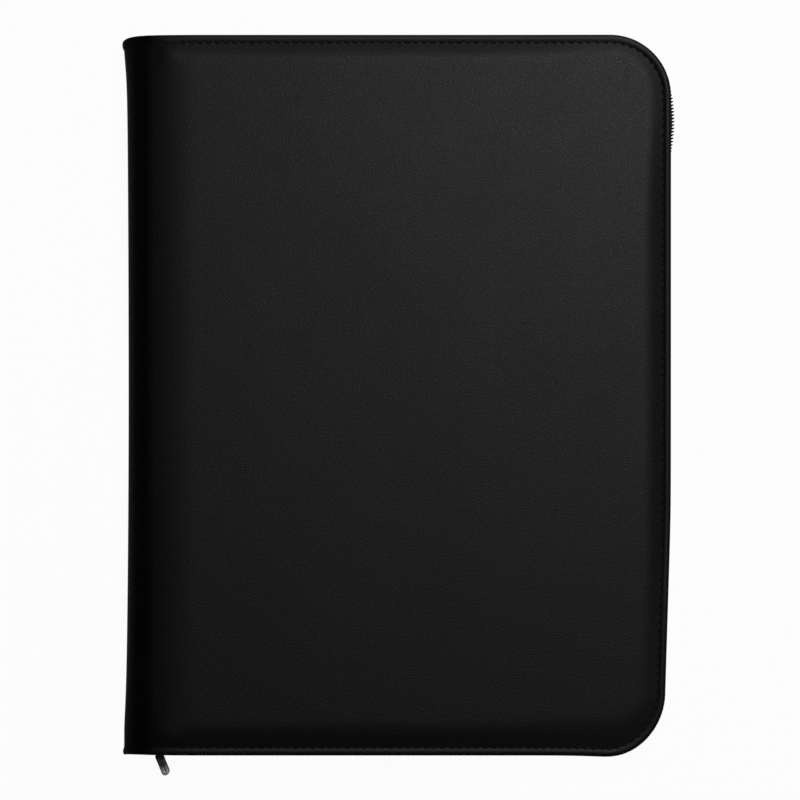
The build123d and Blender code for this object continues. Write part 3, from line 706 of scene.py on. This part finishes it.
def tape_rows(start):
    """Section of a tape carried along the sewn sides: x, y and depth, and its two lengths.

    By the spine its root rises halfway with the leather's roll.
    """
    stations = even_stations(start, TAPE_X, CORNER_R, TAPE_RUNS, TAPE_BENDS, TAPE_SIDES)
    base, way = edge_frame(stations, start, CORNER_R)
    section = np.array([
        (6.2, 3.85), (3.5, 3.85), (1.6, 3.85), (1.2, 4.05), (1.35, 4.45), (2.2, 5.2), (3.3, 6.2), (4.3, 7.1),
        (4.72, 7.7), (4.8, 8.4), (4.8, 9.1), (4.8, 9.9), (4.8, 10.6), (5.05, 10.8), (5.3, 10.6), (5.3, 9.9),
        (5.3, 9.1), (5.3, 8.4), (5.22, 7.5), (4.8, 6.85), (3.8, 5.9), (2.7, 4.9), (2.2, 4.35), (6.2, 4.35)])
    section = section * MM
    plan = base + way * (CORNER_R - section[:, :1, None])
    steps = np.linalg.norm(np.diff(section, axis=0), axis=1)
    lengths = np.concatenate([[0], np.cumsum(steps)])[:, None] + 0 * stations
    root = np.clip((section[:, 1:] - section[12, 1]) / (section[0, 1] - section[12, 1]), 0, 1)
    rows = np.dstack([plan, section[:, 1:] + 0.5 * spine_roll(plan[..., 0]) * root])
    return rows, stations + 0 * lengths, lengths


for side, body, start in (("front", "front_cover", TAPE_FRONT_X), ("back", "back_cover", TAPE_X)):
    rows, length, width = tape_rows(start)
    rows = to_side(settle(hang_out(rows, side)), side).transpose(1, 0, 2)
    grid = (rows, band_faces(*rows.shape[:2]))
    ribbon = make_piece(side + "_tape", [grid], zip_tape, CLOTH_ANGLE, {"along": length.T, "across": width.T})
    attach(ribbon, body)
    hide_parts(side + "_zip_tape")
    side + "_lining_cloth"


# Zip teeth: one stiff nylon thread on each tape, wound in a flat coil whose loops are the teeth. It
# is sewn to the outer side of the tape's free edge.
TOOTH_PITCH = 1.55 * MM
COIL_INSET, COIL_DEPTH = 4.2 * MM, 9.55 * MM
COIL_HALF_T, COIL_HALF_H, COIL_SLANT = 0.38 * MM, 1.05 * MM, 0.55 * MM
NYLON_R = 0.36 * MM
TURN_STEPS, NYLON_SIDES = 10, 6
ROW_X, ROW_FRONT_X = -118.2 * MM, -107.6 * MM

black_nylon, bare = new_finish("black_nylon")
place = bare.node("ShaderNodeTexCoord", out="Object")
scuffs = bare.node("ShaderNodeTexNoise", {"Vector": place, "Scale": 700, "Detail": 3})
tone = between(scuffs, (0.002, 0.002, 0.0021, 1), (0.006, 0.006, 0.0063, 1))
end_finish(bare, {"Base Color": tone, "Roughness": 0.38 + scuffs * 0.16, "Specular IOR Level": 0.06})


def coil(start, side):
    """A tube round a helix whose flat loops follow the tape, each with its tip slanted ahead."""
    radius = CORNER_R - COIL_INSET
    length = 2 * BEND_X - start - ROW_X + np.pi * radius + 2 * BEND_Y
    turns = int(length / TOOTH_PITCH - 0.5)
    angle = np.linspace(0, 2 * np.pi * turns, TURN_STEPS * turns + 1)
    station = TOOTH_PITCH * (angle / (2 * np.pi) + 0.5) + COIL_SLANT * np.sin(angle)
    base, way = edge_frame(station, start, radius)
    inset = COIL_INSET + COIL_HALF_T * np.cos(angle)
    depth = COIL_DEPTH + COIL_HALF_H * np.sin(angle)
    line = np.column_stack([base + way * (CORNER_R - inset)[:, None], depth])
    ahead = np.column_stack([-way[:, 1], way[:, 0], 0 * angle])
    tangent = np.gradient(line, axis=0)
    tangent /= np.linalg.norm(tangent, axis=1, keepdims=True)
    first = np.cross(tangent, ahead)
    first /= np.linalg.norm(first, axis=1, keepdims=True)
    second = np.cross(tangent, first)
    around = np.linspace(0, 2 * np.pi, NYLON_SIDES + 1)[:-1]
    ring = np.cos(around)[:, None] * first[:, None] + np.sin(around)[:, None] * second[:, None]
    return to_side(settle(hang_out(line[:, None] + NYLON_R * ring, side)), side)


for side, body, start in (("front", "front_cover", ROW_FRONT_X), ("back", "back_cover", ROW_X)):
    rows = coil(start, side)
    teeth = make_piece(side + "_teeth", [(rows, band_faces(*rows.shape[:2]))], black_nylon)
    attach(teeth, body)
    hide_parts(side + "_zip_coil")


# Slider, pull and stops: die-cast zinc under dark enamel, with the stops bent from wire of the same
# finish. The enamel is thin, and on the slider and the stops the metal's own grey shows through where
# it is rubbed. The pull's bright metal tip is a painted highlight.
dark_enamel, bare = new_finish("dark_enamel")
place = bare.node("ShaderNodeTexCoord", out="Object")
cast = bare.node("ShaderNodeTexNoise", {"Vector": place, "Scale": 1400, "Detail": 3})
rubbed = bare.node("ShaderNodeTexNoise", {"Vector": place, "Scale": 240, "Detail": 4})
rubbed = bare.node("ShaderNodeMapRange", {"Value": rubbed, "From Min": 0.45, "From Max": 0.7})
tone = between(rubbed, (0.09, 0.09, 0.094, 1), (0.3, 0.3, 0.31, 1))
end_finish(bare, {"Base Color": tone, "Normal": raised(cast, 0.25, 0.05 * MM), "Metallic": rubbed * 0.4 + 0.5,
                  "Roughness": 0.34 - rubbed * 0.08 + cast * 0.06})
for node in ("slider_body", "slider_crown", "zip_bottom_stop", "back_top_stop", "front_top_stop"):
    dress(node, dark_enamel)

# Painted highlight on the pull's tip: past a distance from its pin, its dark enamel turns to bright bare metal.
PIN = (-113.5 * MM, -166.1 * MM, 12 * MM)
TIP_HIGHLIGHT_FROM, TIP_HIGHLIGHT_TO, HIGHLIGHT_EDGE_REACH = 8.0 * MM, 10.5 * MM, 3 * MM
tip_highlight_enamel, bare = new_finish("tip_highlight_enamel")
place = bare.node("ShaderNodeTexCoord", out="Object")
reach = bare.node("ShaderNodeVectorMath", {0: place, 1: PIN}, out="Value", operation="DISTANCE")
chips_and_highlight_edge = bare.node("ShaderNodeTexNoise", {"Vector": place, "Scale": 900, "Detail": 4})
# Noise that ragged the edge of the painted tip highlight and bumps the metal.
reach = reach + (chips_and_highlight_edge - 0.5) * HIGHLIGHT_EDGE_REACH
tip_highlight = bare.node("ShaderNodeMapRange", {"Value": reach, "From Min": TIP_HIGHLIGHT_FROM, "From Max": TIP_HIGHLIGHT_TO})
tone = between(tip_highlight, (0.012, 0.012, 0.013, 1), (0.28, 0.275, 0.27, 1))
end_finish(bare, {"Base Color": tone, "Normal": raised(chips_and_highlight_edge, 0.25, 0.05 * MM), "Metallic": tip_highlight,
                  "Roughness": 0.3 + tip_highlight * 0.12})
dress("zip_pull", tip_highlight_enamel)


# Writing pad: a block of ruled sheets glued at the head under a strip of black book cloth, on a
# backing card that slides into the sleeve.
RULE_PITCH, RULE_W, RULE_TOP = 8.0 * MM, 0.32 * MM, 112 * MM
LEAF_PITCH = 0.21 * MM

white_paper, bare = new_finish("white_paper")
place = bare.node("ShaderNodeTexCoord", out="Object")
along = bare.node("ShaderNodeSeparateXYZ", {0: place}, out="Y")
height = bare.node("ShaderNodeSeparateXYZ", {0: place}, out="Z")
facing = bare.node("ShaderNodeSeparateXYZ", {0: bare.node("ShaderNodeNewGeometry", out="Normal")}, out="Z")
flat = bare.math("GREATER_THAN", facing, 0.8)
rule = bare.math("LESS_THAN", bare.math("FLOORED_MODULO", along, RULE_PITCH), RULE_W)
below_head = bare.math("LESS_THAN", along, RULE_TOP)
leaves = bare.math("SINE", height * (2 * np.pi / LEAF_PITCH)) * 0.5 + 0.5
fibre = bare.node("ShaderNodeTexNoise", {"Vector": place, "Scale": 1100, "Detail": 3})
blank = between(fibre * 0.25 + leaves * (1 - flat) * 0.6, (0.84, 0.84, 0.81, 1), (0.66, 0.66, 0.63, 1))
ruled = between(flat * rule * below_head * 0.75, blank, (0.34, 0.42, 0.55, 1))
end_finish(bare, {"Base Color": ruled, "Normal": raised(leaves * (1 - flat) + fibre * 0.2, 0.5, 0.06 * MM),
                  "Roughness": 0.9 - fibre * 0.08})
dress("pad_sheets", white_paper)

book_cloth, bare = new_finish("book_cloth")
place = bare.node("ShaderNodeTexCoord", out="Object")
warp = bare.node("ShaderNodeTexWave", {"Vector": place, "Scale": 300, "Distortion": 0.8}, bands_direction="X")
weft = bare.node("ShaderNodeTexWave", {"Vector": place, "Scale": 300, "Distortion": 0.8}, bands_direction="Y")
weave = bare.math("MAXIMUM", warp * (1 - weft), weft * (1 - warp)) * 2
tone = between(weave, (0.01, 0.01, 0.012, 1), (0.05, 0.05, 0.056, 1))
end_finish(bare, {"Base Color": tone, "Normal": raised(weave, 0.5, 0.08 * MM), "Roughness": 0.7 - weave * 0.1})
dress("pad_binding", book_cloth)


# Sleeve: a panel of lining cloth over its own stiffening, sewn down to the back cover on three
# sides. Its mouth is bound, and the pad's card pushes it up from behind.
SLEEVE_LOW, SLEEVE_HIGH = (-101 * MM, -153.5 * MM), (119 * MM, -41.5 * MM)
SLEEVE_T, SLEEVE_PUSH, SLEEVE_SLOPE = 0.8 * MM, 0.95 * MM, 4.6 * MM
SLEEVE_COUNTS = (111, 57)
BINDING_W, BINDING_T, BINDING_EDGE = 9 * MM, 0.25 * MM, 1.2 * MM
SLEEVE_CORNER_IN, SLEEVE_SEAM_IN = 7 * MM, 8.6 * MM
SLEEVE_SEAM = ((-99.4 * MM, -42 * MM), (-99.4 * MM, -151.8 * MM), (116 * MM, -151.8 * MM), (116.9 * MM, -42 * MM))
SLEEVE_SEAM_H = 0.2 * MM
MOUTH_SEAM, MOUTH_SEAM_H = ((-99 * MM, -49.5 * MM), (116.5 * MM, -49.5 * MM)), 1.05 * MM
SEW_PITCH, SEW_R, SEW_LEAN = 3.2 * MM, 0.26 * MM, 0.12 * MM
PANEL_ANGLE = 45


def corner_in(points, radius):
    """Draws a panel's corners in to the round of the cover's two free corners."""
    moved = points.copy()
    for end in (-1, 1):
        centre = np.array((BEND_X, end * BEND_Y))
        away = points[..., :2] - centre
        reach = np.linalg.norm(away, axis=-1)
        over = (away[..., 0] > 0) & (end * away[..., 1] > 0) & (reach > radius)
        share = np.where(over, radius / np.maximum(reach, 1e-9), 1)
        moved[..., :2] = np.where(over[..., None], centre + away * share[..., None], moved[..., :2])
    return moved


def slab(top, thickness):
    """A closed panel under a grid of points: the same grid lower down, and walls between."""
    low = top - thickness * np.array((0, 0, 1.0))
    rims = [np.concatenate([g[:-1, 0], g[-1, :-1], g[:0:-1, -1], g[0, :0:-1]]) for g in (top, low)]
    wall = np.stack(rims)
    return [(top, grid_faces(*top.shape[:2])), (low, grid_faces(*low.shape[:2])),
            (wall, grid_faces(*wall.shape[:2], closed=True))]


def panel_grid(low, high, counts):
    """Points x and y of a plain grid between two corners of a panel."""
    x, y = (np.linspace(low[k], high[k], counts[k]) for k in (0, 1))
    return np.meshgrid(x, y, indexing="ij")


def swollen(x, y, low, high, slope):
    """0 at the sewn sides of a panel and 1 past its slope, all but at its mouth towards the head."""
    near = np.minimum(np.minimum(x - low[0], high[0] - x), y - low[1])
    return ease(near / slope)


x, y = panel_grid(SLEEVE_LOW, SLEEVE_HIGH, SLEEVE_COUNTS)
binding = BINDING_T * ease((y - SLEEVE_HIGH[1] + BINDING_W) / BINDING_EDGE)
push = SLEEVE_PUSH * swollen(x, y, SLEEVE_LOW, SLEEVE_HIGH, SLEEVE_SLOPE)
top = np.dstack([x, y, LINING_IN + SLEEVE_T + push + binding + lining_rise(y, x)])
top = settle(corner_in(top, CORNER_R - SLEEVE_CORNER_IN))
sleeve = make_piece("sleeve_panel", slab(top, SLEEVE_T), black_lining, PANEL_ANGLE)
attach(sleeve, "back_cover")
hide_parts("pad_sleeve")


def rim_line(corners, height, pitch=SEW_PITCH):
    """Points about a pitch apart along the runs between corners, at one height."""
    runs = []
    for a, b in zip(np.array(corners[:-1]), np.array(corners[1:])):
        count = max(1, round(np.linalg.norm(b - a) / pitch))
        runs.append(a + (b - a) * np.linspace(0, 1, count + 1)[:-1, None])
    plan = np.concatenate(runs + [np.array(corners[-1:])])
    return np.column_stack([plan, np.full(len(plan), height)])


def sew(name, body, line, up, radius=SEW_R):
    """A row of stitches through points in order, on the side that up points to."""
    ups = np.tile(np.array(up, float), (len(line) - 1, 1))
    thread = make_piece(name, [stitches(line[:-1], line[1:], ups, radius, SEW_LEAN)], black_thread)
    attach(thread, body)


line = rim_line(SLEEVE_SEAM, LINING_IN + SLEEVE_T + SLEEVE_SEAM_H)
line = corner_in(line, CORNER_R - SLEEVE_SEAM_IN)
sew("sleeve_stitches", "back_cover", settle(line), (0, 0, 1))
line = rim_line(MOUTH_SEAM, LINING_IN + SLEEVE_T + MOUTH_SEAM_H)
sew("sleeve_mouth_stitches", "back_cover", line, (0, 0, 1))


# Pen loop: a band of ribbed black elastic, bent once round a pen. A tab at its end is sewn down on
# the lining beside the spine.
LOOP_X, LOOP_Z, LOOP_R = -105 * MM, 10.6 * MM, 5.35 * MM
LOOP_LOW, LOOP_HIGH, LOOP_T = 18 * MM, 42 * MM, 0.7 * MM
LOOP_TAB, LOOP_CLOSE = 8 * MM, 0.62 * MM
CORD_H, SELVAGE_HALF_T = 0.05 * MM, 0.16 * MM
LOOP_SEAM, LOOP_PITCH = ((-98.2 * MM, 19 * MM), (-98.2 * MM, 41 * MM)), 2.4 * MM

black_elastic, bare = new_finish("black_elastic")
place = bare.node("ShaderNodeTexCoord", out="Object")
cords = bare.node("ShaderNodeTexWave", {"Vector": place, "Scale": 260}, bands_direction="Y")
knit = bare.node("ShaderNodeTexNoise", {"Vector": place, "Scale": 1700, "Detail": 2})
tone = between(cords * 0.7 + knit * 0.3, (0.003, 0.003, 0.003, 1), (0.026, 0.026, 0.028, 1))
end_finish(bare, {"Base Color": tone, "Normal": raised(cords * 0.8 + knit * 0.3, 0.7, 0.1 * MM),
                  "Roughness": 0.72 - knit * 0.1})


def pen_band():
    """The band's section carried along its path: the tab, then once round the pen.

    Round the pen the middle of the band closes in slowly, so that its end lies on its start.
    """
    tab = np.linspace(LOOP_TAB, 0.4 * MM, 8)
    turn = np.linspace(0, 2 * np.pi, 57)
    radius = LOOP_R - LOOP_CLOSE * (turn / (2 * np.pi)) ** 6
    px = np.concatenate([LOOP_X + tab, LOOP_X - radius * np.sin(turn)])
    pz = np.concatenate([0 * tab + LOOP_Z - LOOP_R, LOOP_Z - radius * np.cos(turn)])
    path = np.column_stack([px, pz])
    ahead = np.gradient(path, axis=0)
    ahead /= np.linalg.norm(ahead, axis=1, keepdims=True)
    out = np.column_stack([-ahead[:, 1], ahead[:, 0]])
    y = np.linspace(LOOP_LOW, LOOP_HIGH, 25)
    half = LOOP_T / 2 - CORD_H + CORD_H * np.cos(np.linspace(0, 24 * np.pi, 25))
    half[[0, -1]] = SELVAGE_HALF_T
    loop_y = np.concatenate([y, y[::-1]])
    loop_h = np.concatenate([half, -half[::-1]])
    px = path[:, :1] + out[:, :1] * loop_h
    pz = path[:, 1:] + out[:, 1:] * loop_h
    return np.dstack([px, loop_y + 0 * px, pz])


rows = pen_band()
band = make_piece("pen_band", [(rows, band_faces(*rows.shape[:2]))], black_elastic, END_ANGLE)
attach(band, "back_cover")
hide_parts("pen_loop")
sew("pen_band_stitches", "back_cover", rim_line(LOOP_SEAM, LINING_IN + LOOP_T, LOOP_PITCH), (0, 0, 1))


# Pockets in the front cover: a wide document pocket, and three tiers of card pockets over each
# other. Each is a hemmed panel of lining cloth, sewn down on three sides and open to the head.
POCKET_LOW, POCKET_HIGH = (-104 * MM, -157.5 * MM), (116 * MM, 40.5 * MM)
POCKET_T, POCKET_SLACK, POCKET_SLOPE = 0.8 * MM, 0.4 * MM, 5 * MM
POCKET_COUNTS, POCKET_CORNER_IN = (111, 100), 10 * MM
CARD_LOW, CARD_W, CARD_H, CARD_STEP = (-90 * MM, 55.5 * MM), 100 * MM, 42 * MM, 18 * MM
CARD_T, CARD_SLACK = 0.6 * MM, 0.2 * MM
MOUTH_W, MOUTH_T, MOUTH_EDGE = 8 * MM, 0.2 * MM, 1.0 * MM
SIDE_SEAM_IN, MOUTH_SEAM_IN = 1.6 * MM, 8.4 * MM
POCKET_SEW_R, POCKET_SEW_H = 0.24 * MM, 0.05 * MM


def pocket(node, low, high, behind, thickness, slack, counts, corner):
    """A pocket panel on the front cover's lining: it stands off by slack inside its sewn sides."""
    name = node + "_panel"
    base = LINING_IN + behind + thickness
    x, y = panel_grid(low, high, counts)
    hem = MOUTH_T * ease((y - high[1] + MOUTH_W) / MOUTH_EDGE)
    depth = base + slack * swollen(x, y, low, high, POCKET_SLOPE) + hem
    top = corner_in(np.dstack([x, y, depth + 0.5 * lining_rise(y, x)]), CORNER_R - corner)
    panel = [(to_side(settle(points), "front"), faces) for points, faces in slab(top, thickness)]
    piece = make_piece(name, panel, black_lining, PANEL_ANGLE)
    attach(piece, "front_cover")
    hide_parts(node)
    high[0] - low[0]
    high[1] - low[1]
    left, right, foot = low[0] + SIDE_SEAM_IN, high[0] - SIDE_SEAM_IN, low[1] + SIDE_SEAM_IN
    sides = ((left, high[1]), (left, foot), (right, foot), (right, high[1]))
    mouth = ((left, high[1] - MOUTH_SEAM_IN), (right, high[1] - MOUTH_SEAM_IN))
    for part, corners, lifted in (("_sides", sides, 0), ("_mouth", mouth, slack)):
        seam = corner_in(rim_line(corners, base + lifted + POCKET_SEW_H), CORNER_R - corner - SIDE_SEAM_IN)
        sew(name + part, "front_cover", to_side(settle(seam), "front"), (0, 0, -1), POCKET_SEW_R)


pocket("document_pocket", POCKET_LOW, POCKET_HIGH, 0, POCKET_T, POCKET_SLACK, POCKET_COUNTS, POCKET_CORNER_IN)
for tier, name in enumerate(("upper", "middle", "lower")):
    high = (CARD_LOW[0] + CARD_W, CARD_LOW[1] + CARD_H + CARD_STEP * (2 - tier))
    pocket("card_pocket_" + name, CARD_LOW, high, tier * (CARD_T + CARD_SLACK), CARD_T, CARD_SLACK,
           (51, 22 + 9 * (2 - tier)), 0)
